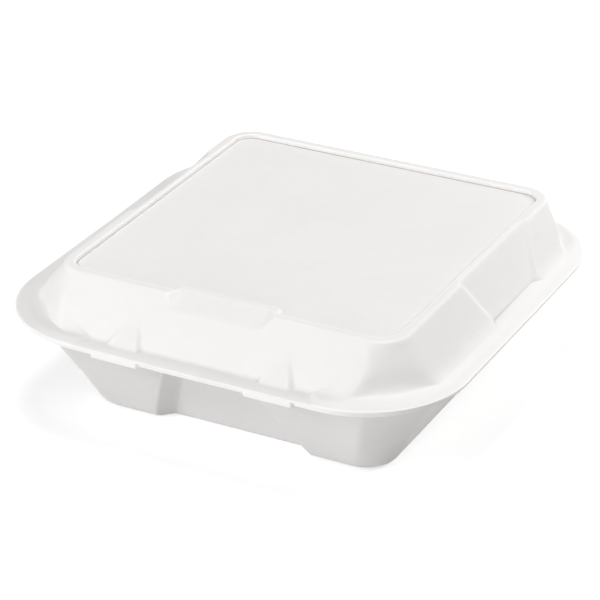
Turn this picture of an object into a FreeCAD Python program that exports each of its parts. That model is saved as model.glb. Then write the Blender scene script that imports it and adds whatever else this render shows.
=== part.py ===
"""Hinged foam clamshell food container, pressed from one sheet of white foam.

Frame: millimetres, +Z up, the origin on the table under the middle of the rim.
The front, with its thumb recess, looks along -Y, and the hinge line is at the back.
The tray stands on its floor, and the closed lid rests on the tray's rim.
"""
import FreeCAD, Part
import os
from math import pi

import Sketcher

PARTS_FOLDER = "parts"
TOUCH = 0.01

# Every size that can be set by itself, in millimetres.
SIZES = {
    "overall_width": 235.0,
    "overall_depth": 235.0,
    "overall_height": 76.0,
    "rim_height": 53.0,
    "foam_sheet": 2.5,
    "rim_sheet": 2.4,
    "rim_corner": 52.0,
    "tray_rim_inset": 2.0,
    "tray_draft": 30.2,
    "floor_corner": 15.0,
    "floor_edge_round": 8.0,
    "cavity_edge_round": 6.0,
    "tray_side_ledge": 7.0,
    "tray_front_ledge": 10.0,
    "tray_back_ledge": 9.0,
    "tray_ledge_round": 3.0,
    "thumb_depth": 7.5,
    "thumb_foot_half": 43.0,
    "thumb_head_half": 20.0,
    "thumb_splay": 7.0,
    "thumb_reach": 6.0,
    "tab_inner": 28.0,
    "tab_outer": 53.0,
    "tab_root": 8.0,
    "tab_hang": 0.6,
    "lid_side_ledge": 11.0,
    "lid_front_ledge": 11.0,
    "lid_back_ledge": 10.5,
    "lid_foot_round": 9.0,
    "lid_side_run": 15.5,
    "lid_front_run": 20.0,
    "lid_back_run": 5.0,
    "top_corner": 15.0,
    "top_edge_round": 2.0,
    "bead_width": 5.3,
    "bead_rise": 1.8,
    "bead_draft": 0.8,
    "lip_width": 5.5,
    "hinge_lip_width": 1.5,
    "lip_fall": 1.0,
    "drop_half": 57.0,
    "drop_splay": 3.3,
    "drop_ramp": 3.0,
    "drop_reach": 4.0,
    "notch_half": 23.7,
    "notch_splay": 4.9,
    "notch_set_back": 7.0,
    "notch_run": 13.0,
    "notch_depth": 5.5,
    "notch_ridge": 3.5,
    "dent_depth": 1.8,
    "dent_head_front": 13.0,
    "dent_head_back": 63.0,
    "dent_foot_front": 6.0,
    "dent_foot_back": 41.0,
    "dent_splay": 3.0,
    "dent_reach": 6.0,
    "lug_centre": 40.0,
    "lug_rise": 9.0,
    "lug_top_half": 2.9,
    "lug_foot_half": 7.3,
    "lug_front_lip": 7.5,
    "lug_flare": 2.5,
    "lug_flare_back": 2.2,
    "lug_top_flare": 0.1,
    "lug_root": 8.0,
    "lug_top_root": 2.0,
    "lug_skin": 2.4,
    "boss_rise": 2.0,
    "boss_root": 13.0,
    "boss_back_half": 5.0,
    "boss_clearance": 0.8,
}

# Every place worked out from the sizes: heights above the table, and distances from
# the middle of the container. "front" and "back" are distances from the middle too.
PLACES = {
    "rim_half": "=Sizes.overall_width / 2",
    "rim_front": "=Sizes.overall_depth / 2",
    "hinge_back": "=Sizes.overall_depth / 2",
    "tray_rim_half": "=rim_half - Sizes.tray_rim_inset",
    "tray_rim_front": "=rim_front - Sizes.tray_rim_inset",
    "tray_rim_corner": "=Sizes.rim_corner - Sizes.tray_rim_inset",
    "ledge_height": "=Sizes.rim_height - Sizes.rim_sheet",
    "lid_rim_top": "=Sizes.rim_height + Sizes.rim_sheet",
    "lip_edge_height": "=lid_rim_top - Sizes.lip_fall",
    "lid_rim_slab": "=Sizes.rim_sheet - Sizes.lip_fall",
    # Outside of the tray's wall where it meets the rim, and how the wall leans.
    "tray_head_half": "=tray_rim_half - Sizes.tray_side_ledge",
    "tray_head_front": "=tray_rim_front - Sizes.tray_front_ledge",
    "tray_head_back": "=hinge_back - Sizes.tray_back_ledge",
    "tray_draft_angle": "=Sizes.tray_draft * 1 deg",
    "tray_lean": "=tan(tray_draft_angle)",
    "tray_lean_out": "=tray_lean * ledge_height",
    "tray_skin": "=Sizes.foam_sheet / cos(tray_draft_angle)",
    "floor_half_width": "=tray_head_half - tray_lean_out",
    "floor_front": "=tray_head_front - tray_lean_out",
    "floor_back": "=tray_head_back - tray_lean_out",
    # Mouth of the tray's cavity, in the rim's top face.
    "cavity_inset": "=tray_skin - tray_lean * Sizes.rim_sheet",
    "cavity_half": "=tray_head_half - cavity_inset",
    "cavity_front": "=tray_head_front - cavity_inset",
    "cavity_back": "=tray_head_back - cavity_inset",
    "cavity_corner": "=Sizes.floor_corner + tray_lean_out - cavity_inset",
    "cavity_depth": "=Sizes.rim_height - Sizes.foam_sheet",
    "cavity_draft_angle": "=-tray_draft_angle",
    # Thumb recess in the tray's front wall, and the skin that closes it inside.
    "thumb_foot_back": "=floor_front - Sizes.thumb_depth",
    "thumb_head_back": "=tray_head_front - Sizes.thumb_depth",
    "thumb_foot_back_half": "=Sizes.thumb_foot_half - Sizes.thumb_splay",
    "thumb_head_back_half": "=Sizes.thumb_head_half - Sizes.thumb_splay",
    "thumb_mouth_splay": "=Sizes.thumb_splay / Sizes.thumb_depth * Sizes.thumb_reach",
    "thumb_foot_mouth": "=floor_front + Sizes.thumb_reach",
    "thumb_head_mouth": "=tray_head_front + Sizes.thumb_reach",
    "thumb_foot_mouth_half": "=Sizes.thumb_foot_half + thumb_mouth_splay",
    "thumb_head_mouth_half": "=Sizes.thumb_head_half + thumb_mouth_splay",
    "skin_foot_height": "=Sizes.foam_sheet / 2",
    "skin_foot_wall": "=floor_front + tray_lean * skin_foot_height - tray_skin / 2",
    "skin_head_wall": "=cavity_front + tray_skin / 2",
    "skin_foot_back": "=skin_foot_wall - tray_skin / 2 - Sizes.thumb_depth",
    "skin_head_back": "=skin_head_wall - tray_skin / 2 - Sizes.thumb_depth",
    "skin_foot_half": "=Sizes.thumb_foot_half + tray_skin",
    "skin_head_half": "=Sizes.thumb_head_half + tray_skin",
    "skin_foot_back_half": "=skin_foot_half - Sizes.thumb_splay",
    "skin_head_back_half": "=skin_head_half - Sizes.thumb_splay",
    # Locking tabs that the tray's rim carries under the lid's lugs.
    "tab_height": "=ledge_height - Sizes.tab_hang",
    "tab_thickness": "=Sizes.rim_sheet + Sizes.tab_hang",
    "tab_back": "=rim_front - Sizes.tab_root",
    # Outside of the lid's wall at its foot on the rim, and how the wall leans.
    "lid_foot_half": "=rim_half - Sizes.lid_side_ledge",
    "lid_foot_front": "=rim_front - Sizes.lid_front_ledge",
    "lid_foot_back": "=hinge_back - Sizes.lid_back_ledge",
    "lid_wall_rise": "=Sizes.overall_height - lid_rim_top",
    "top_half_width": "=lid_foot_half - Sizes.lid_side_run",
    "top_front": "=lid_foot_front - Sizes.lid_front_run",
    "top_back": "=lid_foot_back - Sizes.lid_back_run",
    "lid_side_lean": "=Sizes.lid_side_run / lid_wall_rise",
    "lid_front_lean": "=Sizes.lid_front_run / lid_wall_rise",
    "lid_back_lean": "=Sizes.lid_back_run / lid_wall_rise",
    "lid_foot_corner": "=Sizes.rim_corner - Sizes.lid_side_ledge",
    "lid_side_skin": "=Sizes.foam_sheet * sqrt(1 + lid_side_lean ^ 2)",
    "lid_front_skin": "=Sizes.foam_sheet * sqrt(1 + lid_front_lean ^ 2)",
    "lid_back_skin": "=Sizes.foam_sheet * sqrt(1 + lid_back_lean ^ 2)",
    "lid_corner_lean": "=(lid_foot_corner - Sizes.top_corner) / lid_wall_rise",
    # Raised bead round the top, and the flat panel inside it.
    "panel_height": "=Sizes.overall_height - Sizes.bead_rise",
    "panel_half": "=top_half_width - Sizes.bead_width",
    "panel_front": "=top_front - Sizes.bead_width",
    "panel_back": "=top_back - Sizes.bead_width",
    "panel_corner": "=Sizes.top_corner - Sizes.bead_width",
    "panel_rim_half": "=panel_half + Sizes.bead_draft",
    "panel_rim_front": "=panel_front + Sizes.bead_draft",
    "panel_rim_back": "=panel_back + Sizes.bead_draft",
    "panel_rim_corner": "=panel_corner + Sizes.bead_draft",
    # Inside of the lid, at the rim's lower face and under the panel.
    "ceiling_height": "=panel_height - Sizes.foam_sheet",
    "ceiling_above_foot": "=ceiling_height - lid_rim_top",
    "dome_foot_half": "=lid_foot_half + lid_side_lean * Sizes.rim_sheet - lid_side_skin",
    "dome_foot_front": "=lid_foot_front + lid_front_lean * Sizes.rim_sheet - lid_front_skin",
    "dome_foot_back": "=lid_foot_back + lid_back_lean * Sizes.rim_sheet - lid_back_skin",
    "dome_foot_corner": "=lid_foot_corner + lid_corner_lean * Sizes.rim_sheet - lid_side_skin",
    "dome_head_half": "=lid_foot_half - lid_side_lean * ceiling_above_foot - lid_side_skin",
    "dome_head_front": "=lid_foot_front - lid_front_lean * ceiling_above_foot - lid_front_skin",
    "dome_head_back": "=lid_foot_back - lid_back_lean * ceiling_above_foot - lid_back_skin",
    "dome_head_corner": "=lid_foot_corner - lid_corner_lean * ceiling_above_foot - lid_side_skin",
    # Outer lip of the lid's rim, which falls away from a crease.
    "crease_half": "=rim_half - Sizes.lip_width",
    "crease_front": "=rim_front - Sizes.lip_width",
    "crease_back": "=hinge_back - Sizes.hinge_lip_width",
    "crease_corner": "=Sizes.rim_corner - Sizes.lip_width",
    # Lowered stretch of the rim in front, between the ends of the lip.
    "drop_mouth": "=rim_front + Sizes.drop_reach",
    "drop_mouth_grow": "=Sizes.drop_splay / Sizes.lip_width * (Sizes.lip_width + Sizes.drop_reach)",
    "drop_crease_half": "=Sizes.drop_half + Sizes.drop_ramp",
    "drop_floor_mouth_half": "=Sizes.drop_half + drop_mouth_grow",
    "drop_top_mouth_half": "=drop_crease_half + drop_mouth_grow",
    # Lift notch, cut slantwise through the middle of the top's front edge.
    "notch_foot_height": "=Sizes.overall_height - Sizes.notch_depth",
    "notch_back": "=top_front - Sizes.notch_set_back",
    "notch_front": "=notch_back + Sizes.notch_run",
    "notch_lean": "=Sizes.notch_run / Sizes.notch_depth",
    "notch_end_lean": "=Sizes.notch_splay / Sizes.notch_set_back",
    "notch_mouth": "=notch_front + Sizes.notch_ridge",
    "notch_foot_mouth_half": "=Sizes.notch_half + notch_end_lean * Sizes.notch_ridge",
    "notch_head_mouth_half": "=notch_foot_mouth_half + notch_end_lean * Sizes.notch_run",
    "ridge_back": "=notch_back - Sizes.notch_ridge",
    "ridge_front": "=notch_back + Sizes.notch_ridge",
    "ridge_back_half": "=Sizes.notch_half + Sizes.notch_ridge / 2",
    "ridge_front_half": "=ridge_back_half + notch_end_lean * Sizes.notch_ridge * 2",
    "panel_core_height": "=panel_height - Sizes.foam_sheet / 2",
    "ridge_rise": "=Sizes.overall_height - panel_core_height",
    # Skin behind the notch: the notch's slope let down by the sheet's thickness.
    "notch_skin_drop": "=Sizes.foam_sheet * sqrt(1 + notch_lean ^ -2)",
    "notch_wall_head": "=lid_foot_front - lid_front_lean * (panel_core_height - lid_rim_top)",
    "notch_skin_head_front": "=notch_wall_head - lid_front_skin / 2",
    "notch_skin_head_back": "=notch_back + (ridge_rise - notch_skin_drop) * notch_lean",
    "notch_skin_foot_height": "=notch_foot_height - Sizes.foam_sheet",
    "notch_skin_fall": "=Sizes.notch_depth + Sizes.foam_sheet - notch_skin_drop",
    "notch_wall_foot": "=lid_foot_front - lid_front_lean * (notch_skin_foot_height - lid_rim_top)",
    "notch_skin_foot_front": "=notch_wall_foot - lid_front_skin / 2",
    "notch_skin_foot_back": "=notch_back + notch_skin_fall * notch_lean",
    "notch_skin_half": "=notch_head_mouth_half",
    # Shallow dents in the lid's side walls, and the skin behind them.
    "dent_head_floor": "=top_half_width - Sizes.dent_depth",
    "dent_foot_floor": "=lid_foot_half - Sizes.dent_depth",
    "dent_head_mouth": "=top_half_width + Sizes.dent_reach",
    "dent_foot_mouth": "=lid_foot_half + Sizes.dent_reach",
    "dent_mouth_grow": "=Sizes.dent_splay / Sizes.dent_depth * (Sizes.dent_depth + Sizes.dent_reach)",
    "dent_head_mouth_front": "=Sizes.dent_head_front + dent_mouth_grow",
    "dent_head_mouth_back": "=Sizes.dent_head_back + dent_mouth_grow",
    "dent_foot_mouth_front": "=Sizes.dent_foot_front + dent_mouth_grow",
    "dent_foot_mouth_back": "=Sizes.dent_foot_back + dent_mouth_grow",
    "dent_wall_head": "=lid_foot_half - lid_side_lean * (panel_core_height - lid_rim_top)",
    "dent_skin_head_outer": "=dent_wall_head - Sizes.dent_depth - lid_side_skin / 2",
    "dent_skin_head_inner": "=dent_skin_head_outer - lid_side_skin / 2",
    "dent_skin_foot_outer": "=dent_foot_floor - lid_side_skin / 2",
    "dent_skin_foot_inner": "=dent_foot_floor - lid_side_skin",
    "dent_skin_head_front": "=Sizes.dent_head_front + Sizes.foam_sheet",
    "dent_skin_head_back": "=Sizes.dent_head_back + Sizes.foam_sheet",
    "dent_skin_foot_front": "=Sizes.dent_foot_front + Sizes.foam_sheet",
    "dent_skin_foot_back": "=Sizes.dent_foot_back + Sizes.foam_sheet",
    # Hollow lugs on the lid's front, named outwards from the middle of the container.
    "lug_foot_height": "=lip_edge_height",
    "lug_top_height": "=lip_edge_height + Sizes.lug_rise",
    "lug_hollow_foot_height": "=lug_foot_height - Sizes.lug_skin",
    "lug_hollow_top_height": "=lug_top_height - Sizes.lug_skin",
    "lug_foot_front": "=rim_front - Sizes.lug_front_lip",
    "lug_foot_side": "=lug_foot_front - Sizes.lug_flare_back",
    "lug_foot_root": "=lug_foot_side - Sizes.lug_root",
    "lug_top_front": "=lid_foot_front - lid_front_lean * (lug_top_height - lid_rim_top)",
    "lug_top_side": "=lug_top_front - Sizes.lug_flare_back * Sizes.lug_top_flare",
    "lug_top_root_front": "=lug_top_side - Sizes.lug_top_root",
    "lug_foot_near": "=Sizes.lug_centre - Sizes.lug_foot_half",
    "lug_foot_far": "=Sizes.lug_centre + Sizes.lug_foot_half",
    "lug_foot_near_flare": "=lug_foot_near - Sizes.lug_flare",
    "lug_foot_far_flare": "=lug_foot_far + Sizes.lug_flare",
    "lug_top_near": "=Sizes.lug_centre - Sizes.lug_top_half",
    "lug_top_far": "=Sizes.lug_centre + Sizes.lug_top_half",
    "lug_top_near_flare": "=lug_top_near - Sizes.lug_flare * Sizes.lug_top_flare",
    "lug_top_far_flare": "=lug_top_far + Sizes.lug_flare * Sizes.lug_top_flare",
    "lug_lean": "=(lug_foot_front - lug_top_front) / Sizes.lug_rise",
    # Bosses on the tray's rim that the lugs snap over.
    "boss_back": "=rim_front - Sizes.boss_root",
    "boss_top_height": "=Sizes.rim_height + Sizes.boss_rise",
    "boss_sunk_height": "=Sizes.rim_height - Sizes.rim_sheet / 2",
    "boss_foot_lift": "=boss_sunk_height - lug_hollow_foot_height",
    "boss_top_lift": "=boss_top_height - lug_hollow_foot_height",
    "boss_foot_front": "=lug_foot_front - lug_lean * boss_foot_lift - Sizes.boss_clearance",
    "boss_top_front": "=lug_foot_front - lug_lean * boss_top_lift - Sizes.boss_clearance",
    "boss_side_lean": "=(Sizes.lug_foot_half - Sizes.lug_top_half) / Sizes.lug_rise",
    "boss_foot_half": "=Sizes.lug_foot_half - boss_side_lean * Sizes.rim_sheet - Sizes.boss_clearance",
    "boss_top_half": "=boss_foot_half - boss_side_lean * Sizes.boss_rise * 2",
    "boss_foot_near": "=Sizes.lug_centre - boss_foot_half",
    "boss_foot_far": "=Sizes.lug_centre + boss_foot_half",
    "boss_foot_near_back": "=Sizes.lug_centre - Sizes.boss_back_half",
    "boss_foot_far_back": "=Sizes.lug_centre + Sizes.boss_back_half",
    "boss_top_near": "=Sizes.lug_centre - boss_top_half",
    "boss_top_far": "=Sizes.lug_centre + boss_top_half",
}


class Sheets:
    """The two spreadsheets, and what a sketch or a feature needs from them."""

    def __init__(self, doc):
        """Fill both sheets and work them out."""
        self.sizes = self.filled(doc, "Sizes", SIZES)
        self.places = self.filled(doc, "Places", PLACES)
        doc.recompute()

    @staticmethod
    def filled(doc, name, cells):
        """Return a sheet with a named cell for each entry."""
        sheet = doc.addObject("Spreadsheet::Sheet", name)
        for row, (alias, content) in enumerate(cells.items(), start=1):
            sheet.set("A%d" % row, alias)
            sheet.set("B%d" % row, str(content))
            sheet.setAlias("B%d" % row, alias)
        return sheet

    def value(self, word):
        """Return the number behind a cell's name, which may have a minus in front."""
        alias = word.lstrip("-")
        sheet = self.sizes if alias in SIZES else self.places
        number = sheet.get(alias)
        return -number if word.startswith("-") else number

    def formula(self, word):
        """Return the expression that binds a property to a cell's name."""
        alias = word.lstrip("-")
        sign = "-" if word.startswith("-") else ""
        return "%s%s.%s" % (sign, "Sizes" if alias in SIZES else "Places", alias)


def origin_plane(body, role):
    """Return one of the body's own origin planes."""
    return next(item for item in body.Origin.OriginFeatures if item.Role == role)


def new_sketch(body, sheets, name, height):
    """Return a level sketch at a named height."""
    sketch = body.newObject("Sketcher::SketchObject", name)
    sketch.AttachmentSupport = [(origin_plane(body, "XY_Plane"), "")]
    sketch.MapMode = "FlatFace"
    if height:
        sketch.setExpression("AttachmentOffset.Base.z", sheets.formula(height))
    return sketch


def bind_point(sketch, sheets, edge, end, across, along):
    """Tie one end of an edge to named distances from the middle."""
    for kind, word in (("DistanceX", across), ("DistanceY", along)):
        rule = Sketcher.Constraint(kind, -1, 1, edge, end, sheets.value(word))
        sketch.setExpression("Constraints[%d]" % sketch.addConstraint(rule), sheets.formula(word))


def polygon(body, sheets, name, height, corners):
    """Return a closed sketch of straight edges through named corners."""
    sketch = new_sketch(body, sheets, name, height)
    points = [FreeCAD.Vector(sheets.value(x), sheets.value(y), 0) for x, y in corners]
    for start, end in zip(points, points[1:] + points[:1]):
        sketch.addGeometry(Part.LineSegment(start, end))
    for index, (across, along) in enumerate(corners):
        before = (index - 1) % len(corners)
        sketch.addConstraint(Sketcher.Constraint("Coincident", before, 2, index, 1))
        bind_point(sketch, sheets, index, 1, across, along)
    return sketch


def outline(body, sheets, name, height, half, front, back, corner):
    """Return a closed sketch of a rectangle with round corners, level at a named height."""
    sketch = new_sketch(body, sheets, name, height)
    side, near, far, bend = (sheets.value(word) for word in (half, front, back, corner))
    lines = (((bend - side, -near), (side - bend, -near)), ((side, bend - near), (side, far - bend)),
             ((side - bend, far), (bend - side, far)), ((-side, far - bend), (-side, bend - near)))
    centres = ((side - bend, bend - near), (side - bend, far - bend),
               (bend - side, far - bend), (bend - side, bend - near))
    for start, end in lines:
        sketch.addGeometry(Part.LineSegment(FreeCAD.Vector(*start, 0), FreeCAD.Vector(*end, 0)))
    for turn, centre in enumerate(centres):
        circle = Part.Circle(FreeCAD.Vector(*centre, 0), FreeCAD.Vector(0, 0, 1), bend)
        sketch.addGeometry(Part.ArcOfCircle(circle, (turn - 1) * pi / 2, turn * pi / 2))
    for turn in range(4):
        arc = turn + 4
        sketch.addConstraint(Sketcher.Constraint("Tangent", turn, 2, arc, 1))
        sketch.addConstraint(Sketcher.Constraint("Tangent", arc, 2, (turn + 1) % 4, 1))
        sketch.addConstraint(Sketcher.Constraint("Vertical" if turn % 2 else "Horizontal", turn))
        if turn:
            sketch.addConstraint(Sketcher.Constraint("Equal", arc, 4))
    radius = sketch.addConstraint(Sketcher.Constraint("Radius", 4, bend))
    sketch.setExpression("Constraints[%d]" % radius, sheets.formula(corner))
    for line, kind, word in ((0, "DistanceY", "-" + front), (1, "DistanceX", half),
                             (2, "DistanceY", back), (3, "DistanceX", "-" + half)):
        rule = Sketcher.Constraint(kind, -1, 1, line, 1, sheets.value(word))
        sketch.setExpression("Constraints[%d]" % sketch.addConstraint(rule), sheets.formula(word))
    return sketch


def loft(body, kind, name, first, second):
    """Return a straight-sided loft between two sketches: Additive or Subtractive."""
    feature = body.newObject("PartDesign::%sLoft" % kind, name)
    feature.Profile = first
    feature.Sections = [second]
    feature.Ruled = True
    body.Tip = feature
    return feature


def extruded(body, sheets, kind, name, sketch, length, draft=None):
    """Return a Pad above its sketch or a Pocket below it, with a named length and draft."""
    feature = body.newObject("PartDesign::" + kind, name)
    feature.Profile = sketch
    feature.setExpression("Length", sheets.formula(length))
    if draft:
        feature.setExpression("TaperAngle", sheets.formula(draft))
    body.Tip = feature
    return feature


def mirrored(body, name, *features):
    """Return the features repeated on the other side of the container."""
    feature = body.newObject("PartDesign::Mirrored", name)
    feature.Originals = list(features)
    feature.MirrorPlane = (origin_plane(body, "YZ_Plane"), [""])
    body.Tip = feature
    return feature


def rounded(body, sheets, name, radius, chosen):
    """Return a fillet of a named radius on the edges for which chosen(edge) holds."""
    body.Document.recompute()
    base = body.Tip
    names = ["Edge%d" % number for number, edge in enumerate(base.Shape.Edges, start=1) if chosen(edge)]
    feature = body.newObject("PartDesign::Fillet", name)
    feature.Base = (base, names)
    feature.setExpression("Radius", sheets.formula(radius))
    body.Tip = feature
    return feature


def level_at(height):
    """Return a test for edges that lie at one height."""
    return lambda edge: abs(edge.BoundBox.ZMin - height) < TOUCH and abs(edge.BoundBox.ZMax - height) < TOUCH


def tray(doc, sheets):
    """Return the tray: a deep dish with a flat rim, a thumb recess and two snap bosses."""
    body = doc.addObject("PartDesign::Body", "BaseTray")
    body.Label = "base_tray"
    foot = outline(body, sheets, "TrayFloor", None,
                   "floor_half_width", "floor_front", "floor_back", "floor_corner")
    extruded(body, sheets, "Pad", "TrayDish", foot, "ledge_height", "tray_draft_angle")
    rounded(body, sheets, "TrayFloorRound", "floor_edge_round", level_at(0))
    rim = outline(body, sheets, "TrayRimOutline", "ledge_height",
                  "tray_rim_half", "tray_rim_front", "hinge_back", "tray_rim_corner")
    extruded(body, sheets, "Pad", "TrayRim", rim, "rim_sheet")
    rounded(body, sheets, "TrayLedgeRound", "tray_ledge_round",
            wall_edges(sheets, "ledge_height", "tray_head_half", "tray_head_front", "tray_head_back"))
    mouth = outline(body, sheets, "CavityMouth", "rim_height",
                    "cavity_half", "cavity_front", "cavity_back", "cavity_corner")
    extruded(body, sheets, "Pocket", "TrayCavity", mouth, "cavity_depth", "cavity_draft_angle")
    rounded(body, sheets, "CavityFloorRound", "cavity_edge_round", level_at(sheets.value("foam_sheet")))
    thumb_recess(body, sheets)
    snap_parts(body, sheets)
    return body


def thumb_recess(body, sheets):
    """Set the thumb recess into the tray's front wall, with its skin on the inside."""
    skin_foot = polygon(body, sheets, "ThumbSkinFoot", "skin_foot_height", (
        ("-skin_foot_half", "-skin_foot_wall"), ("skin_foot_half", "-skin_foot_wall"),
        ("skin_foot_back_half", "-skin_foot_back"), ("-skin_foot_back_half", "-skin_foot_back")))
    skin_head = polygon(body, sheets, "ThumbSkinHead", "rim_height", (
        ("-skin_head_half", "-skin_head_wall"), ("skin_head_half", "-skin_head_wall"),
        ("skin_head_back_half", "-skin_head_back"), ("-skin_head_back_half", "-skin_head_back")))
    loft(body, "Additive", "ThumbSkin", skin_foot, skin_head)
    foot = polygon(body, sheets, "ThumbFoot", None, (
        ("-thumb_foot_mouth_half", "-thumb_foot_mouth"), ("thumb_foot_mouth_half", "-thumb_foot_mouth"),
        ("thumb_foot_back_half", "-thumb_foot_back"), ("-thumb_foot_back_half", "-thumb_foot_back")))
    head = polygon(body, sheets, "ThumbHead", "ledge_height", (
        ("-thumb_head_mouth_half", "-thumb_head_mouth"), ("thumb_head_mouth_half", "-thumb_head_mouth"),
        ("thumb_head_back_half", "-thumb_head_back"), ("-thumb_head_back_half", "-thumb_head_back")))
    loft(body, "Subtractive", "ThumbRecess", foot, head)


def snap_parts(body, sheets):
    """Add the tray's two locking tabs and the two bosses that the lid's lugs snap over."""
    tab = polygon(body, sheets, "LockTabOutline", "tab_height", (
        ("tab_inner", "-rim_front"), ("tab_outer", "-rim_front"),
        ("tab_outer", "-tab_back"), ("tab_inner", "-tab_back")))
    mirrored(body, "LockTabs", extruded(body, sheets, "Pad", "LockTab", tab, "tab_thickness"))
    foot = polygon(body, sheets, "BossFoot", "boss_sunk_height", (
        ("boss_foot_near", "-boss_foot_front"), ("boss_foot_far", "-boss_foot_front"),
        ("boss_foot_far_back", "-boss_back"), ("boss_foot_near_back", "-boss_back")))
    top = polygon(body, sheets, "BossTop", "boss_top_height", (
        ("boss_top_near", "-boss_top_front"), ("boss_top_far", "-boss_top_front"),
        ("boss_top_far", "-boss_back"), ("boss_top_near", "-boss_back")))
    mirrored(body, "SnapBosses", loft(body, "Additive", "SnapBoss", foot, top))


def lid(doc, sheets):
    """Return the lid: a shallow dome with a beaded top, a lift notch and two hollow lugs."""
    body = doc.addObject("PartDesign::Body", "Lid")
    body.Label = "lid"
    foot = outline(body, sheets, "LidFoot", "lid_rim_top",
                   "lid_foot_half", "lid_foot_front", "lid_foot_back", "lid_foot_corner")
    top = outline(body, sheets, "LidTop", "overall_height",
                  "top_half_width", "top_front", "top_back", "top_corner")
    loft(body, "Additive", "LidDome", foot, top)
    rim = outline(body, sheets, "LidRimOutline", "rim_height",
                  "rim_half", "rim_front", "hinge_back", "rim_corner")
    extruded(body, sheets, "Pad", "LidRim", rim, "lid_rim_slab")
    edge = outline(body, sheets, "LipEdge", "lip_edge_height",
                   "rim_half", "rim_front", "hinge_back", "rim_corner")
    crease = outline(body, sheets, "LipCrease", "lid_rim_top",
                     "crease_half", "crease_front", "crease_back", "crease_corner")
    loft(body, "Additive", "LidLip", edge, crease)
    rounded(body, sheets, "LidFootRound", "lid_foot_round",
            wall_edges(sheets, "lid_rim_top", "lid_foot_half", "lid_foot_front", "lid_foot_back"))
    rounded(body, sheets, "LidTopRound", "top_edge_round", level_at(sheets.value("overall_height")))
    panel_rim = outline(body, sheets, "PanelRim", "overall_height",
                        "panel_rim_half", "panel_rim_front", "panel_rim_back", "panel_rim_corner")
    panel = outline(body, sheets, "Panel", "panel_height",
                    "panel_half", "panel_front", "panel_back", "panel_corner")
    loft(body, "Subtractive", "TopPanel", panel, panel_rim)
    foot = outline(body, sheets, "DomeMouth", "rim_height",
                   "dome_foot_half", "dome_foot_front", "dome_foot_back", "dome_foot_corner")
    head = outline(body, sheets, "DomeCeiling", "ceiling_height",
                   "dome_head_half", "dome_head_front", "dome_head_back", "dome_head_corner")
    loft(body, "Subtractive", "LidHollow", foot, head)
    side_dents(body, sheets)
    lift_notch(body, sheets)
    front_drop(body, sheets)
    lugs(body, sheets)
    return body


def wall_edges(sheets, height, half, front, back):
    """Return a test for the level edges of a wall, which lie within its outline."""
    level = level_at(sheets.value(height))
    half, front, back = (sheets.value(word) + TOUCH for word in (half, front, back))

    def is_wall(edge):
        box = edge.BoundBox
        return level(edge) and -half < box.XMin and box.XMax < half and -front < box.YMin and box.YMax < back
    return is_wall


def side_dents(body, sheets):
    """Press a shallow dent into each side wall, with its skin on the inside."""
    foot = polygon(body, sheets, "DentSkinFoot", "lid_rim_top", (
        ("dent_skin_foot_inner", "-dent_skin_foot_front"), ("dent_skin_foot_outer", "-dent_skin_foot_front"),
        ("dent_skin_foot_outer", "dent_skin_foot_back"), ("dent_skin_foot_inner", "dent_skin_foot_back")))
    head = polygon(body, sheets, "DentSkinHead", "panel_core_height", (
        ("dent_skin_head_inner", "-dent_skin_head_front"), ("dent_skin_head_outer", "-dent_skin_head_front"),
        ("dent_skin_head_outer", "dent_skin_head_back"), ("dent_skin_head_inner", "dent_skin_head_back")))
    mirrored(body, "DentSkins", loft(body, "Additive", "DentSkin", foot, head))
    foot = polygon(body, sheets, "DentFoot", "lid_rim_top", (
        ("dent_foot_floor", "-dent_foot_front"), ("dent_foot_mouth", "-dent_foot_mouth_front"),
        ("dent_foot_mouth", "dent_foot_mouth_back"), ("dent_foot_floor", "dent_foot_back")))
    head = polygon(body, sheets, "DentHead", "overall_height", (
        ("dent_head_floor", "-dent_head_front"), ("dent_head_mouth", "-dent_head_mouth_front"),
        ("dent_head_mouth", "dent_head_mouth_back"), ("dent_head_floor", "dent_head_back")))
    mirrored(body, "SideDents", loft(body, "Subtractive", "SideDent", foot, head))


def lift_notch(body, sheets):
    """Cut the lift notch, with a ridge that leads the bead round it and a skin behind it."""
    ridge = polygon(body, sheets, "NotchRidgeOutline", "panel_core_height", (
        ("-ridge_front_half", "-ridge_front"), ("ridge_front_half", "-ridge_front"),
        ("ridge_back_half", "-ridge_back"), ("-ridge_back_half", "-ridge_back")))
    extruded(body, sheets, "Pad", "NotchRidge", ridge, "ridge_rise")
    foot = polygon(body, sheets, "NotchSkinFoot", "notch_skin_foot_height", (
        ("-notch_skin_half", "-notch_skin_foot_front"), ("notch_skin_half", "-notch_skin_foot_front"),
        ("notch_skin_half", "-notch_skin_foot_back"), ("-notch_skin_half", "-notch_skin_foot_back")))
    head = polygon(body, sheets, "NotchSkinHead", "panel_core_height", (
        ("-notch_skin_half", "-notch_skin_head_front"), ("notch_skin_half", "-notch_skin_head_front"),
        ("notch_skin_half", "-notch_skin_head_back"), ("-notch_skin_half", "-notch_skin_head_back")))
    loft(body, "Additive", "NotchSkin", foot, head)
    foot = polygon(body, sheets, "NotchFoot", "notch_foot_height", (
        ("-notch_foot_mouth_half", "-notch_mouth"), ("notch_foot_mouth_half", "-notch_mouth"),
        ("notch_half", "-notch_front"), ("-notch_half", "-notch_front")))
    head = polygon(body, sheets, "NotchHead", "overall_height", (
        ("-notch_head_mouth_half", "-notch_mouth"), ("notch_head_mouth_half", "-notch_mouth"),
        ("notch_half", "-notch_back"), ("-notch_half", "-notch_back")))
    loft(body, "Subtractive", "LiftNotch", foot, head)


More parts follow.
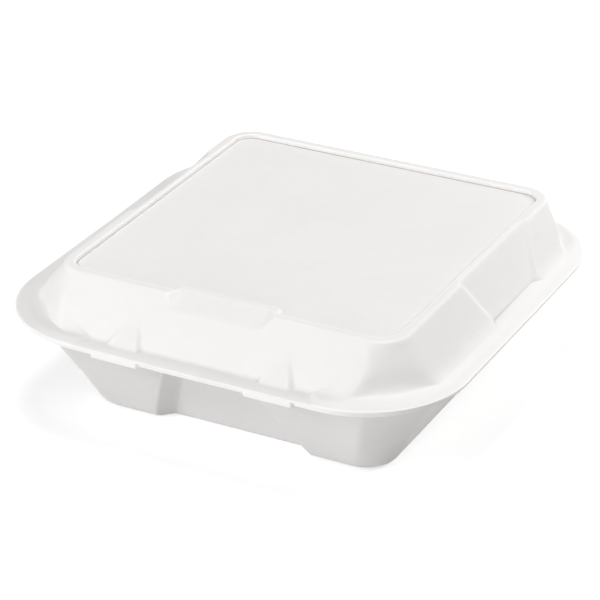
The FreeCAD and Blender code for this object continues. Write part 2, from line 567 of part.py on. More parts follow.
def front_drop(body, sheets):
    """Lower the front stretch of the rim between the two ends of the lip."""
    foot = polygon(body, sheets, "DropFloor", "lip_edge_height", (
        ("-drop_floor_mouth_half", "-drop_mouth"), ("drop_floor_mouth_half", "-drop_mouth"),
        ("drop_half", "-lid_foot_front"), ("-drop_half", "-lid_foot_front")))
    head = polygon(body, sheets, "DropTop", "lid_rim_top", (
        ("-drop_top_mouth_half", "-drop_mouth"), ("drop_top_mouth_half", "-drop_mouth"),
        ("drop_crease_half", "-lid_foot_front"), ("-drop_crease_half", "-lid_foot_front")))
    loft(body, "Subtractive", "FrontDrop", foot, head)


def lug_outline(body, sheets, name, height, level):
    """Return the outline of the far lug at its foot or its top, as the level says."""
    far, near = "lug_%s_far" % level, "lug_%s_near" % level
    front, side = "-lug_%s_front" % level, "-lug_%s_side" % level
    root = {"foot": "-lug_foot_root", "top": "-lug_top_root_front"}[level]
    return polygon(body, sheets, name, height, (
        (near, front), (far, front), (far + "_flare", side),
        (far + "_flare", root), (near + "_flare", root), (near + "_flare", side)))


def lugs(body, sheets):
    """Add the two hollow lugs on the lid's front, and clear their insides."""
    foot = lug_outline(body, sheets, "LugFoot", "lug_foot_height", "foot")
    top = lug_outline(body, sheets, "LugTop", "lug_top_height", "top")
    mirrored(body, "Lugs", loft(body, "Additive", "Lug", foot, top))
    foot = lug_outline(body, sheets, "LugHollowFoot", "lug_hollow_foot_height", "foot")
    top = lug_outline(body, sheets, "LugHollowTop", "lug_hollow_top_height", "top")
    mirrored(body, "LugHollows", loft(body, "Subtractive", "LugHollow", foot, top))


def main():
    """Build the container, check it and write one STEP file for each piece."""
    doc = FreeCAD.newDocument("FoamClamshell")
    sheets = Sheets(doc)
    pieces = [tray(doc, sheets), lid(doc, sheets)]
    doc.recompute()
    for item in doc.Objects:
        if "Invalid" in item.State or "Error" in item.State:
            raise RuntimeError("%s failed: %s" % (item.Label, item.State))
    os.makedirs(PARTS_FOLDER, exist_ok=True)
    for piece in pieces:
        shape = piece.Shape
        if shape.isNull() or not shape.isValid() or len(shape.Solids) != 1:
            raise RuntimeError("%s is not one valid solid" % piece.Label)
        shape.exportStep(os.path.join(PARTS_FOLDER, piece.Label + ".step"))
        print(piece.Label, round(shape.Volume), "cubic mm", len(shape.Faces), "faces", shape.BoundBox)


main()
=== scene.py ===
"""Looks of a white foam clamshell container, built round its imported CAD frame.

The two pressed halves are drawn as closed skins whose rings follow the product's own
section, with every press mark as a softly blended plane. Sizes are in millimetres until
a mesh is written, and then in metres, in the frame's own axes: +Z up and the front at -Y.
"""

import logging
from dataclasses import dataclass, field, replace
from enum import Enum
from math import cos, hypot, pi, radians, sin, tan
from typing import Any, Mapping, Sequence

import bpy
import numpy as np
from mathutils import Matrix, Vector

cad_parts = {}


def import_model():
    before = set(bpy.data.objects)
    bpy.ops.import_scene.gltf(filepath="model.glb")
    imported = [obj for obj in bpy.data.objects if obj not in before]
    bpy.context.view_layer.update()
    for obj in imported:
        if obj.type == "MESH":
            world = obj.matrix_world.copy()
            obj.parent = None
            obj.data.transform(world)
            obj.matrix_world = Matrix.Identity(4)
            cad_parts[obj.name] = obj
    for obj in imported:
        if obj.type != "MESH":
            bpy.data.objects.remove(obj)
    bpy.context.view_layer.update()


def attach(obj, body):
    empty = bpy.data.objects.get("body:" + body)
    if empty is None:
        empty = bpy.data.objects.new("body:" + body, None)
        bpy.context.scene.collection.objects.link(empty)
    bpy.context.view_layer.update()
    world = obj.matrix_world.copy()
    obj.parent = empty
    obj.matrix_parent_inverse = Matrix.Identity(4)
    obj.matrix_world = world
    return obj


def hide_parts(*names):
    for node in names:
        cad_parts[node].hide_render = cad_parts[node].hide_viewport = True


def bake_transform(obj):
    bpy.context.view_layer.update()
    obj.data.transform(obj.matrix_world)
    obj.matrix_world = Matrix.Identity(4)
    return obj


LOG = logging.getLogger("foam_clamshell")
MILLIMETRE = 0.001
WHITE = (1.0, 1.0, 1.0, 1.0)
PRESSED = "pressed"
CREST = "crest"
CREST_GAIN = 0.25
SHORTEST_EDGE = 0.2

Grid = np.ndarray


# Shader words
class Signal:
    """One output socket of a shader tree, which takes part in arithmetic."""

    def __init__(self, board: "Board", socket: bpy.types.NodeSocket | None) -> None:
        """Keep the tree and the socket, which is None for a node that ends the tree."""
        self.board = board
        self.socket = socket

    def _combined(self, operation: str, first: Any, second: Any) -> "Signal":
        """Return a Math node's result for two signals or numbers.

        Args:
            operation: the Math node's operation.
            first: the left operand.
            second: the right operand.

        Returns:
            The node's value as a new signal.
        """
        return self.board.node("ShaderNodeMath", {"operation": operation}, {0: first, 1: second})

    def __add__(self, other: Any) -> "Signal":
        """Return self + other."""
        return self._combined("ADD", self, other)

    def __radd__(self, other: Any) -> "Signal":
        """Return other + self."""
        return self._combined("ADD", other, self)

    def __sub__(self, other: Any) -> "Signal":
        """Return self - other."""
        return self._combined("SUBTRACT", self, other)

    def __rsub__(self, other: Any) -> "Signal":
        """Return other - self."""
        return self._combined("SUBTRACT", other, self)

    def __mul__(self, other: Any) -> "Signal":
        """Return self * other."""
        return self._combined("MULTIPLY", self, other)

    def __rmul__(self, other: Any) -> "Signal":
        """Return other * self."""
        return self._combined("MULTIPLY", other, self)


class Board:
    """The node tree of one material or world, with one method that makes any node."""

    def __init__(self, tree: bpy.types.NodeTree) -> None:
        """Start from an empty tree."""
        self.tree = tree
        self.tree.nodes.clear()

    def node(self, kind: str, settings: Mapping[str, Any] | None = None,
             inputs: Mapping[Any, Any] | None = None, output: Any = 0) -> Signal:
        """Make a node of any kind.

        Args:
            kind: the node's type.
            settings: properties that are set first.
            inputs: values or signals, by the socket's name or number.
            output: the name or number of the output that is wanted.

        Returns:
            The wanted output as a signal.
        """
        made = self.tree.nodes.new(kind)
        for name, value in (settings or {}).items():
            setattr(made, name, value)
        for name, value in (inputs or {}).items():
            socket = made.inputs[name]
            if isinstance(value, Signal):
                self.tree.links.new(value.socket, socket)
            else:
                socket.default_value = value
        return Signal(self, made.outputs[output] if made.outputs else None)

    def mixed(self, share: Any, first: Any, second: Any) -> Signal:
        """Return a colour between two colours.

        Args:
            share: 0 for the first colour, 1 for the second.
            first: a colour or a signal.
            second: a colour or a signal.

        Returns:
            The mixed colour.
        """
        return self.node("ShaderNodeMix", {"data_type": "RGBA"}, {0: share, 6: first, 7: second}, output=2)

    def in_view(self) -> Signal:
        """Tell the rays that show the background from those that light the scene.

        Returns:
            1 for rays from the camera, straight or by a mirror or glass, and 0 for others.
        """
        rays = [self.node("ShaderNodeLightPath", output="Is %s Ray" % kind)
                for kind in ("Camera", "Glossy", "Transmission")]
        return rays[0] + rays[1] + rays[2]

    def stepped(self, value: Any, low: float, high: float) -> Signal:
        """Return 0 to 1 as a value goes from low to high, smoothly."""
        return self.node("ShaderNodeMapRange", {"interpolation_type": "SMOOTHSTEP"},
                         {"Value": value, "From Min": low, "From Max": high})


# Finishes
class Face(Enum):
    """Which pressed half a finish is for."""

    TRAY = "tray"
    LID = "lid"
    HINGE = "hinge"


@dataclass(frozen=True)
class FoamFinish:
    """White foamed polystyrene sheet: fine cells under a thin satin skin.

    Crests get a painted highlight and creases a painted shade, and the flattened rims are smoother than the
    walls.
    """

    skin: tuple[float, float, float] = (0.915, 0.903, 0.892)
    shade: tuple[float, float, float] = (0.885, 0.868, 0.86)
    pressed: tuple[float, float, float] = (0.9, 0.892, 0.883)
    painted_crest_highlight: tuple[float, float, float] = (0.985, 0.98, 0.975)
    painted_crease_shade: tuple[float, float, float] = (0.60, 0.58, 0.57)
    cell_size: float = 1.15
    cell_depth: float = 0.035
    orange_peel: float = 0.11
    cloud_relief: float = 0.176
    peel_scale: float = 140.0
    cloud_scale: float = 22.0
    streak_scale: float = 420.0
    streak_draw: float = 0.16
    satin: float = 0.42
    matt: float = 0.56
    gloss: float = 0.22

    def material(self, face: Face) -> bpy.types.Material:
        """Build the foam's material.

        Args:
            face: the half of the container, which sets where its patterns start.

        Returns:
            The new material.
        """
        made = bpy.data.materials.new("white_foam_%s" % face.value)
        made.use_nodes = True
        board = Board(made.node_tree)
        place = board.node("ShaderNodeTexCoord", output="Object")
        place = board.node("ShaderNodeMapping", None, {
            "Vector": place, "Location": (0.31 * len(face.value), 0.17, 0.05)})
        pressed = board.node("ShaderNodeAttribute", {"attribute_name": PRESSED}, output="Fac")
        per_metre = 1.0 / (self.cell_size * MILLIMETRE)
        solid = {"noise_dimensions": "3D"}
        cells = board.node("ShaderNodeTexVoronoi", {"feature": "SMOOTH_F1"}, {
            "Vector": place, "Scale": per_metre, "Smoothness": 0.6, "Randomness": 1.0}, output="Distance")
        beads = board.node("ShaderNodeTexVoronoi", {"feature": "F1"}, {
            "Vector": place, "Scale": per_metre / 2.6, "Randomness": 1.0}, output="Color")
        bead_tone = board.node("ShaderNodeSeparateColor", None, {"Color": beads}, output="Red")
        peel = board.node("ShaderNodeTexNoise", solid, {
            "Vector": place, "Scale": self.peel_scale, "Detail": 3.0, "Roughness": 0.55})
        cloud = board.node("ShaderNodeTexNoise", solid, {
            "Vector": place, "Scale": self.cloud_scale, "Detail": 4.0, "Roughness": 0.6})
        drawn = board.node("ShaderNodeMapping", None, {
            "Vector": place, "Scale": (1.0, 1.0, self.streak_draw)})
        streak = board.node("ShaderNodeTexNoise", solid, {
            "Vector": drawn, "Scale": self.streak_scale, "Detail": 2.0, "Roughness": 0.5})
        tone = board.stepped(cloud, 0.36, 0.68) * 0.45 + bead_tone * 0.22 + streak * 0.18
        colour = board.mixed(tone, (*self.skin, 1.0), (*self.shade, 1.0))
        colour = board.mixed(pressed * 0.6, colour, (*self.pressed, 1.0))
        # painted light: convex bends of the sheet get a painted highlight, concave creases a painted shade
        bend = board.node("ShaderNodeAttribute", {"attribute_name": CREST}, output="Fac")
        colour = board.mixed(board.stepped(bend, 0.5, 0.85) * 0.95, colour, (*self.painted_crest_highlight, 1.0))
        colour = board.mixed(board.stepped(0.5 - bend, 0.05, 0.38) * 0.85, colour, (*self.painted_crease_shade, 1.0))
        rough = self.matt - (self.matt - self.satin) * board.stepped(peel + pressed * 0.5, 0.35, 0.95)
        relief = cells * self.cell_depth * (1.0 - pressed * 0.7) + peel * self.orange_peel
        relief = relief + streak * (self.cell_depth * 0.8) + cloud * self.cloud_relief
        bump = board.node("ShaderNodeBump", None, {
            "Height": relief, "Distance": MILLIMETRE, "Strength": 0.9}, output="Normal")
        foam = board.node("ShaderNodeBsdfPrincipled", None, {
            "Base Color": colour, "Roughness": rough, "Normal": bump, "Specular IOR Level": self.gloss})
        board.node("ShaderNodeOutputMaterial", None, {"Surface": foam})
        return made


@dataclass(frozen=True)
class BackdropFinish:
    """White studio sweep that shows as plain white and still takes the object's shadow."""

    tone: float = 0.62
    glow: float = 0.61

    def material(self) -> bpy.types.Material:
        """Build the sweep's material: a pale grey, with a glow that only lights up the view.

        Returns:
            The new material.
        """
        made = bpy.data.materials.new("studio_sweep")
        made.use_nodes = True
        board = Board(made.node_tree)
        plain = board.node("ShaderNodeBsdfDiffuse", None, {"Color": (self.tone, self.tone, self.tone, 1.0)})
        light = board.node("ShaderNodeEmission", None, {"Color": WHITE, "Strength": self.glow})
        lit = board.node("ShaderNodeAddShader", None, {0: plain, 1: light})
        surface = board.node("ShaderNodeMixShader", None, {0: board.in_view(), 1: plain, 2: lit})
        board.node("ShaderNodeOutputMaterial", None, {"Surface": surface})
        return made


# Pressed surfaces
def soft_min(first: Grid, second: Grid, blend: float) -> Grid:
    """Return the lower of two heights with a rounded edge between them.

    Args:
        first: heights in millimetres.
        second: heights in millimetres.
        blend: the height over which the two run into each other.

    Returns:
        The blended heights.
    """
    share = np.clip(0.5 + 0.5 * (second - first) / blend, 0.0, 1.0)
    return second + (first - second) * share - blend * share * (1.0 - share)


def soft_max(first: Grid, second: Grid, blend: float) -> Grid:
    """Return the higher of two heights with a rounded edge between them."""
    return -soft_min(-first, -second, blend)


def smooth_step(value: Grid, low: float, high: float) -> Grid:
    """Return 0 to 1 as a value goes from low to high."""
    share = np.clip((value - low) / (high - low), 0.0, 1.0)
    return share * share * (3.0 - 2.0 * share)


def mark_crests(mesh: bpy.types.Mesh, pressed: Grid) -> None:
    """Note on each point of a skin how far it is pressed flat and how sharply it bends.

    Args:
        mesh: the skin, in metres.
        pressed: how far each point lies in a compressed area, from 0 to 1.
    """
    count = len(mesh.vertices)
    points, normals = np.empty(count * 3, np.float32), np.empty(count * 3, np.float32)
    ends = np.empty(len(mesh.edges) * 2, np.int32)
    mesh.vertices.foreach_get("co", points)
    mesh.vertex_normals.foreach_get("vector", normals)
    mesh.edges.foreach_get("vertices", ends)
    points, normals, ends = points.reshape(-1, 3) / MILLIMETRE, normals.reshape(-1, 3), ends.reshape(-1, 2)
    run = points[ends[:, 1]] - points[ends[:, 0]]
    turned = normals[ends[:, 1]] - normals[ends[:, 0]]
    bend = (run * turned).sum(axis=1) / np.maximum((run * run).sum(axis=1), SHORTEST_EDGE ** 2)
    total = np.zeros(count)
    for side in range(2):
        np.add.at(total, ends[:, side], bend)
    for name, values in ((PRESSED, pressed), (CREST, np.clip(0.5 + CREST_GAIN * total, 0.0, 1.0))):
        layer = mesh.attributes.new(name, "FLOAT", "POINT")
        layer.data.foreach_set("value", values.astype(np.float32))


@dataclass(frozen=True)
class Slope:
    """A plane of the press tool, as a height over the ground: across, along and level."""

    across: float
    along: float
    level: float

    @classmethod
    def through(cls, first: Sequence[float], second: Sequence[float], third: Sequence[float]) -> "Slope":
        """Return the slope through three points.

        Args:
            first: x, y and z of a point.
            second: x, y and z of a second point.
            third: x, y and z of a third point, not in line with the others.

        Returns:
            The slope.
        """
        rows = np.array([[point[0], point[1], 1.0] for point in (first, second, third)])
        return cls(*np.linalg.solve(rows, np.array([point[2] for point in (first, second, third)])))

    def moved(self, thickness: float) -> "Slope":
        """Return the slope moved up by a thickness measured square to it."""
        return replace(self, level=self.level + thickness * hypot(hypot(self.across, self.along), 1.0))

    def height(self, x: Grid, y: Grid) -> Grid:
        """Return the slope's height over each point."""
        return self.across * x + self.along * y + self.level


@dataclass(frozen=True)
class Outline:
    """A rectangle with round or cut-off corners, level at one height."""

    half: float
    front: float
    back: float
    corner: float
    height: float
    facet: float = 0.0

    def row(self) -> Grid:
        """Return the outline's numbers."""
        return np.array([self.half, self.front, self.back, self.corner, self.height, self.facet])

    def inset(self, side: float, front: float, back: float, corner: float, height: float) -> "Outline":
        """Return the outline drawn in on each side, at a new height."""
        return Outline(self.half - side, self.front - front, self.back - back, self.corner - corner,
                       height, self.facet)

    def even(self, amount: float, height: float) -> "Outline":
        """Return the outline drawn in by the same amount all round, at a new height."""
        return self.inset(amount, amount, amount, amount, height)

    def towards(self, other: "Outline", share: float, corner: float, facet: float) -> "Outline":
        """Return an outline part of the way to another, with corners of its own.

        Args:
            other: the outline at the far end.
            share: 0 for this outline, 1 for the other.
            corner: how far each corner reaches along the sides.
            facet: 0 for round corners, 1 for corners cut off straight.

        Returns:
            The outline between them.
        """
        half, front, back, _, height, _ = self.row() + (other.row() - self.row()) * share
        return Outline(half, front, back, corner, height, facet)


@dataclass(frozen=True)
class Turn:
    """Where a pressed section turns, how softly, and how finely the run up to it is divided."""

    outline: Outline
    softness: float
    step: float
    zone: str


@dataclass(frozen=True)
class Perimeter:
    """How many columns of a skin run along each side and round each corner."""

    front: int = 172
    side: int = 124
    back: int = 60
    corner: int = 30
    easing: int = 12

    def places(self, rows: Grid) -> tuple[Grid, Grid]:
        """Return where the columns of each ring are.

        Args:
            rows: one outline a row.

        Returns:
            The x and the y of each ring's points, ring by ring.
        """
        half, front, back, corner = (rows[:, index:index + 1] for index in range(4))
        left, right = corner - half, half - corner
        low, high = corner - front, back - corner
        runs = [(self.front, left, right, -front, -front), (0, right, low, -pi / 2, 0),
                (self.side, half, half, low, high), (0, right, high, 0, pi / 2),
                (self.back, right, left, back, back), (0, left, high, pi / 2, pi),
                (self.side, -half, -half, high, low), (0, left, low, pi, 3 * pi / 2)]
        facet = rows[:, 5:6]
        xs, ys = [], []
        for count, first, second, third, fourth in runs:
            if count:
                share = np.arange(count) / count
                xs.append(first + (second - first) * share)
                ys.append(third + (fourth - third) * share)
            else:
                share = np.arange(self.corner) / self.corner
                angle = third + (fourth - third) * share
                for found, middle, wave in ((xs, first, np.cos), (ys, second, np.sin)):
                    straight = wave(third) * (1.0 - share) + wave(fourth) * share
                    found.append(middle + corner * (wave(angle) * (1.0 - facet) + straight * facet))
        return self.eased(np.concatenate(xs, axis=1), facet), self.eased(np.concatenate(ys, axis=1), facet)

    def eased(self, places: Grid, facet: Grid) -> Grid:
        """Round the ends of the cut-off corners.

        Args:
            places: the x or the y of each ring's points, ring by ring.
            facet: how far each ring's corners are cut off straight.

        Returns:
            The same points, drawn towards their neighbours where corners are cut off.
        """
        for _ in range(self.easing):
            between = (np.roll(places, 1, axis=1) + np.roll(places, -1, axis=1)) / 2
            places = places + (between - places) * facet / 2
        return places


def rings_of(turns: Sequence[Turn]) -> tuple[Grid, list[str]]:
    """Divide a pressed section into rings, with a soft bend at each turn.

    Args:
        turns: the section from the middle of one face to the middle of the other.

    Returns:
        One outline a row, and the zone that each row lies in.
    """
    rows, zones = [turns[0].outline.row()], [turns[0].zone]
    for index in range(1, len(turns)):
        here = turns[index]
        corner = here.outline.row()
        into = corner - turns[index - 1].outline.row()
        reach = hypot(np.abs(into[:3]).max(), into[4])
        last = index + 1 == len(turns)
        entry = corner if last else corner - into * min(here.softness / reach, 0.48)
        run = entry - rows[-1]
        count = max(1, int(round(hypot(np.abs(run[:3]).max(), run[4]) / here.step)))
        start = rows[-1]
        for number in range(1, count + 1):
            rows.append(start + run * number / count)
            zones.append(here.zone)
        if last:
            break
        out = turns[index + 1].outline.row() - corner
        leave = corner + out * min(here.softness / hypot(np.abs(out[:3]).max(), out[4]), 0.48)
        bends = max(3, int(here.softness * 1.6)) if here.softness else 0
        for number in range(1, bends + 1):
            share = number / bends
            rows.append(entry * (1 - share) ** 2 + corner * 2 * share * (1 - share) + leave * share ** 2)
            zones.append(here.zone if share < 0.5 else turns[index + 1].zone)
    return np.array(rows), zones


@dataclass
class PressedHalf:
    """A pressed half of the container: a closed skin round its whole sheet."""

    name: str
    body: str
    node: str
    sheet: float = 2.5
    rim_sheet: float = 2.4
    rim_height: float = 53.0
    overall: float = 235.0
    rim_corner: float = 52.0
    wave: float = 0.22
    wavy_from: tuple[float, float] = (104.0, 117.0)
    perimeter: Perimeter = field(default_factory=Perimeter)

    @property
    def rim_half(self) -> float:
        """Return half the width of the closed container's rim."""
        return self.overall / 2

    def section(self) -> list[Turn]:
        """Return the half's section."""
        raise NotImplementedError

    def pressed_in(self, zones: Grid, x: Grid, y: Grid, z: Grid) -> tuple[Grid, Grid, Grid]:
        """Return the points with the press marks of this half.

        Args:
            zones: the name of the zone that each point lies in.
            x: how far across each point is, in millimetres.
            y: how far along each point is.
            z: how high each point is.

        Returns:
            The x, the y and the z of the points after pressing.
        """
        raise NotImplementedError

    def built(self) -> bpy.types.Object:
        """Build the skin.

        Returns:
            The new object, in metres, with its pressed areas as an attribute.
        """
        rows, zone_names = rings_of(self.section())
        x, y = self.perimeter.places(rows)
        z = np.repeat(rows[:, 4:5], x.shape[1], axis=1)
        zones = np.repeat(np.array(zone_names)[:, None], x.shape[1], axis=1)
        x, y, z = self.pressed_in(zones, x, y, z)
        z = z + self.waviness(x, y)
        flat = np.isin(zones, ("rim", "lip", "edge")).astype(float)
        points = np.stack([x, y, z], axis=-1).reshape(-1, 3) * MILLIMETRE
        return self.closed_skin(points, x.shape, flat.reshape(-1))

    def waviness(self, x: Grid, y: Grid) -> Grid:
        """Return how far the rims of both halves rise or fall together.

        Args:
            x: how far across each point is, in millimetres.
            y: how far along each point is.

        Returns:
            The rise of each point, in millimetres.
        """
        reach = np.maximum(np.abs(x), np.abs(y))
        near_rim = smooth_step(reach, *self.wavy_from)
        wave = np.sin(x * 0.031 + 0.8) * np.cos(y * 0.027 - 0.5) + 0.4 * np.sin(x * 0.06 - y * 0.05)
        return self.wave * wave * near_rim

    def closed_skin(self, points: Grid, shape: tuple[int, int], pressed: Grid) -> bpy.types.Object:
        """Turn rings of points into one closed mesh.

        Args:
            points: the points, ring after ring, in metres.
            shape: the numbers of rings and of columns.
            pressed: how far each point lies in a compressed area, from 0 to 1.

        Returns:
            The mesh as a new object.
        """
        rings, columns = shape
        first = points[:columns].mean(axis=0)
        last = points[-columns:].mean(axis=0)
        every = np.vstack([points, first, last])
        index = np.arange(rings * columns).reshape(rings, columns)
        beside = np.roll(index, -1, axis=1)
        quads = np.stack([index[:-1], beside[:-1], beside[1:], index[1:]], axis=-1).reshape(-1, 4)
        fan_top = np.stack([np.full(columns, rings * columns), beside[0], index[0]], axis=-1)
        fan_end = np.stack([np.full(columns, rings * columns + 1), index[-1], beside[-1]], axis=-1)
        mesh = bpy.data.meshes.new(self.name)
        mesh.from_pydata(every.tolist(), [], quads.tolist() + fan_top.tolist() + fan_end.tolist())
        if first[2] > last[2]:
            mesh.flip_normals()
        mesh.update()
        mesh.shade_smooth()
        mark_crests(mesh, np.append(pressed, [0.0, 0.0]))
        made = bpy.data.objects.new(self.name, mesh)
        bpy.context.scene.collection.objects.link(made)
        return made

    def dressed(self, made: bpy.types.Object, finish: FoamFinish, face: Face) -> bpy.types.Object:
        """Give the skin its finish and its body, in place of the frame's own node.

        Args:
            made: the skin.
            finish: the foam it is made of.
            face: which half this is.

        Returns:
            The same object.
        """
        made.data.materials.append(finish.material(face))
        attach(made, self.body)
        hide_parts(self.node)
        return made


@dataclass
class Tray(PressedHalf):
    """The deep tray, with a thumb recess, locking tabs and snap bosses."""

    name: str = "tray_skin"
    body: str = "tray"
    node: str = "base_tray"
    rim_inset: float = 2.0
    side_ledge: float = 7.0
    front_ledge: float = 10.0
    back_ledge: float = 9.0
    draft: float = 30.2
    floor_corner: float = 15.0
    low_corner: float = 17.7
    head_corner: float = 24.0
    facet: float = 0.9
    floor_softness: float = 4.6
    thumb_depth: float = 7.5
    thumb_foot: float = 43.0
    thumb_head: float = 20.0
    thumb_splay: float = 7.0
    tab_inner: float = 28.0
    tab_outer: float = 53.0
    tab_hang: float = 0.6
    lug_centre: float = 40.0
    boss_foot: tuple[float, float] = (109.45, 51.8)
    boss_top: tuple[float, float] = (105.44, 55.0)
    boss_half: tuple[float, float] = (5.33, 3.37)
    boss_back: float = 104.5

    @property
    def ledge(self) -> float:
        """Return the height of the rim's lower face."""
        return self.rim_height - self.rim_sheet

    @property
    def lean(self) -> float:
        """Return how far the walls lean out for each millimetre of height."""
        return tan(radians(self.draft))

    def head(self) -> Outline:
        """Find where the wall meets the rim.

        Returns:
            The outside of the wall there.
        """
        return Outline(self.rim_half - self.rim_inset - self.side_ledge,
                       self.rim_half - self.rim_inset - self.front_ledge,
                       self.rim_half - self.back_ledge, self.head_corner, self.ledge, self.facet)

    def section(self) -> list[Turn]:
        """Return the section from under the floor, over the rim and back to the floor's inside.

        Returns:
            The turns of the tray's section, in order.
        """
        head = self.head()
        floor = replace(head.even(self.lean * self.ledge, 0.0), corner=self.floor_corner, facet=0.0)
        inset = self.sheet / cos(radians(self.draft)) - self.lean * self.rim_sheet
        mouth = head.inset(inset, inset, inset, inset / 2, self.rim_height)
        well = replace(mouth.even(self.lean * (self.rim_height - self.sheet), self.sheet),
                       corner=self.floor_corner - inset / 2, facet=0.0)
        rim = Outline(self.rim_half - self.rim_inset, self.rim_half - self.rim_inset, self.rim_half,
                      self.rim_corner - self.rim_inset, self.ledge)
        middle = Outline(4.0, 5.0, 6.0, 3.8, 0.0)
        return [
            Turn(middle, 0.0, 8.0, "under"),
            Turn(floor.inset(9.0, 16.0, 9.0, 6.0, 0.0), 0.0, 9.0, "under"),
            Turn(floor, self.floor_softness, 1.2, "under"),
            Turn(floor.towards(head, 0.3, self.low_corner, 0.5), 6.0, 1.25, "outside"),
            Turn(head, 1.8, 1.25, "outside"),
            Turn(rim, 0.35, 1.1, "edge"),
            Turn(replace(rim, height=self.rim_height), 0.5, 1.1, "edge"),
            Turn(mouth, 1.2, 0.9, "rim"),
            Turn(well.towards(mouth, 0.3, self.low_corner - inset / 2, 0.5), 6.0, 1.4, "inside"),
            Turn(well, self.floor_softness - 1.0, 1.4, "inside"),
            Turn(well.inset(9.0, 9.0, 9.0, 5.0, self.sheet), 0.0, 2.0, "well"),
            Turn(replace(middle, height=self.sheet), 0.0, 9.0, "well"),
        ]

    def pressed_in(self, zones: Grid, x: Grid, y: Grid, z: Grid) -> tuple[Grid, Grid, Grid]:
        """Press in the thumb recess, the tabs and the bosses.

        Args:
            zones: the name of the zone that each point lies in.
            x: how far across each point is, in millimetres.
            y: how far along each point is.
            z: how high each point is.

        Returns:
            The x, the y and the z of the points after pressing.
        """
        across = np.abs(x)
        below = np.isin(zones, ("under", "outside"))
        above = np.isin(zones, ("inside", "well"))
        z = np.where(below, soft_max(z, self.thumb(across, y, 0.0), 0.9), z)
        z = np.where(above & (y < 0.0), soft_max(z, self.thumb(across, y, self.sheet), 1.6), z)
        z = np.where(below, np.minimum(z, self.ledge), z)
        z = np.where(above, np.minimum(z, self.rim_height), z)
        tab = smooth_step(across, self.tab_inner - 0.6, self.tab_inner + 0.4)
        tab = tab * (1.0 - smooth_step(across, self.tab_outer - 0.4, self.tab_outer + 0.6))
        tab = tab * np.where(y < 0.0, smooth_step(-y, 109.0, 110.2), 0.0)
        lower = z < self.ledge + 0.9
        z = np.where((zones == "edge") & lower, z - self.tab_hang * tab, z)
        proud = (self.rim_inset - 0.25) * tab * smooth_step(-y, 113.0, 115.0)
        y = np.where(np.isin(zones, ("edge", "rim")), y - proud, y)
        boss = self.boss(across, y)
        z = np.where((zones == "rim") & (y < -100.0), soft_max(z, boss, 0.8), z)
        return x, y, z

    def thumb(self, across: Grid, y: Grid, skin: float) -> Grid:
        """Return the thumb recess's surface.

        Args:
            across: how far each point is from the middle, in millimetres.
            y: how far along each point is.
            skin: how far it is moved in, square to itself.

        Returns:
            The surface's height over each point.
        """
        front = self.head().front - self.lean * self.ledge
        back = front - self.thumb_depth
        floor = Slope(0.0, -1.0 / self.lean, -back / self.lean).moved(skin)
        end = Slope.through((self.thumb_foot, -front, 0.0), (self.thumb_head, -self.head().front, self.ledge),
                            (self.thumb_foot - self.thumb_splay, -back, 0.0)).moved(skin)
        return soft_min(floor.height(across, y), end.height(across, y), 1.1)

    def boss(self, across: Grid, y: Grid) -> Grid:
        """Return the surface of the bosses that the lid's lugs snap over.

        Args:
            across: how far each point is from the middle, in millimetres.
            y: how far along each point is.

        Returns:
            The surface's height over each point.
        """
        beside = np.abs(across - self.lug_centre)
        (foot, low), (top, high) = self.boss_foot, self.boss_top
        wide, narrow = self.boss_half
        front = Slope.through((0.0, -foot, low), (1.0, -foot, low), (0.0, -top, high))
        side = Slope.through((wide, 0.0, low), (wide, 1.0, low), (narrow, 0.0, high))
        behind = -self.boss_back
        back = Slope.through((0.0, behind, high), (1.0, behind, high), (0.0, behind + 1.0, low))
        height = soft_min(front.height(beside, y), side.height(beside, y), 0.6)
        return soft_min(soft_min(height, back.height(beside, y), 0.6), np.full_like(y, high), 0.4)


